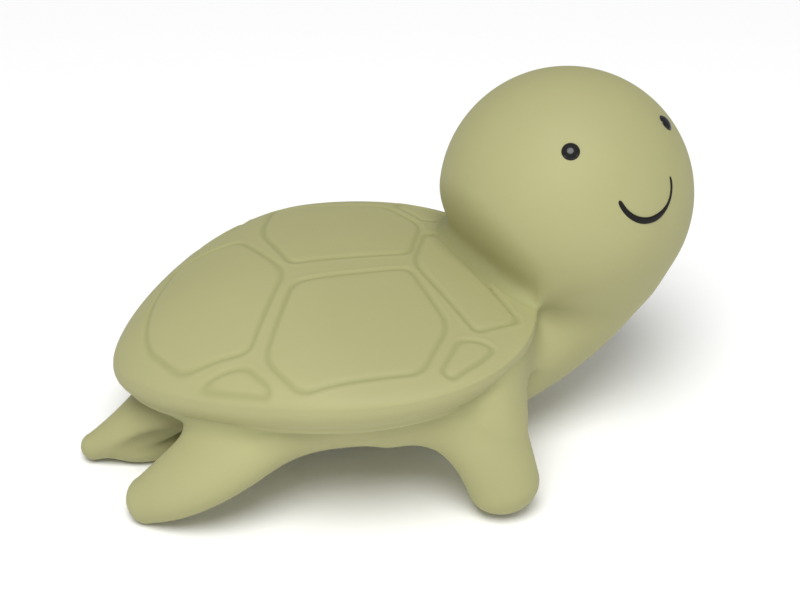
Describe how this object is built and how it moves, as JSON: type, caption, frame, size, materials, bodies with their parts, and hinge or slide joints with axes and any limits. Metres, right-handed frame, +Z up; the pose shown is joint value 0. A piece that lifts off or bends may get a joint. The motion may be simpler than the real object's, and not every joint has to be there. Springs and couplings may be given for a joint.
{
  "type": "squeaky bath toy",
  "caption": "Hollow rubber turtle bath toy with a raised round head that looks to its right, bead eyes, a painted smile, a shell that is pressed and a reed squeaker in the belly.",
  "frame": {"origin": "floor level under the middle of the toy's length and width", "axes": "+X from the tail towards the head, +Y to the turtle's left, +Z up from the floor"},
  "size_m": [0.1445, 0.0882, 0.0819],
  "materials": {
    "skin_rubber": "matte",
    "face_paint": "gloss",
    "squeaker_plastic": "satin",
    "reed_plastic": "satin"
  },
  "bodies": {
    "toy": {"carapace_rim": "skin_rubber", "plastron": "skin_rubber", "head": "skin_rubber", "front_left_flipper": "skin_rubber", "front_right_flipper": "skin_rubber", "rear_left_flipper": "skin_rubber", "rear_right_flipper": "skin_rubber", "tail": "skin_rubber", "left_eye": "face_paint", "right_eye": "face_paint", "smile": "face_paint", "squeaker_barrel": "squeaker_plastic", "reed_block": "squeaker_plastic", "reed_clamp": "squeaker_plastic", "squeaker_cap": "squeaker_plastic"},
    "crown": {"carapace_crown": "skin_rubber"},
    "reed": {"reed_tongue": "reed_plastic"}
  },
  "joints": [
    {"name": "shell_squeeze", "type": "slide", "parent": "toy", "child": "crown", "axis": [0, 0, -1], "range_m": [0, 0.006], "stiffness_N_per_m": 1500},
    {"name": "reed_flutter", "type": "hinge", "parent": "toy", "child": "reed", "pos_m": [-0.0141, 0, 0.007], "axis": [1, 0, 0], "range_deg": [0, 6], "stiffness_Nm_per_rad": 0.0002}
  ]
}
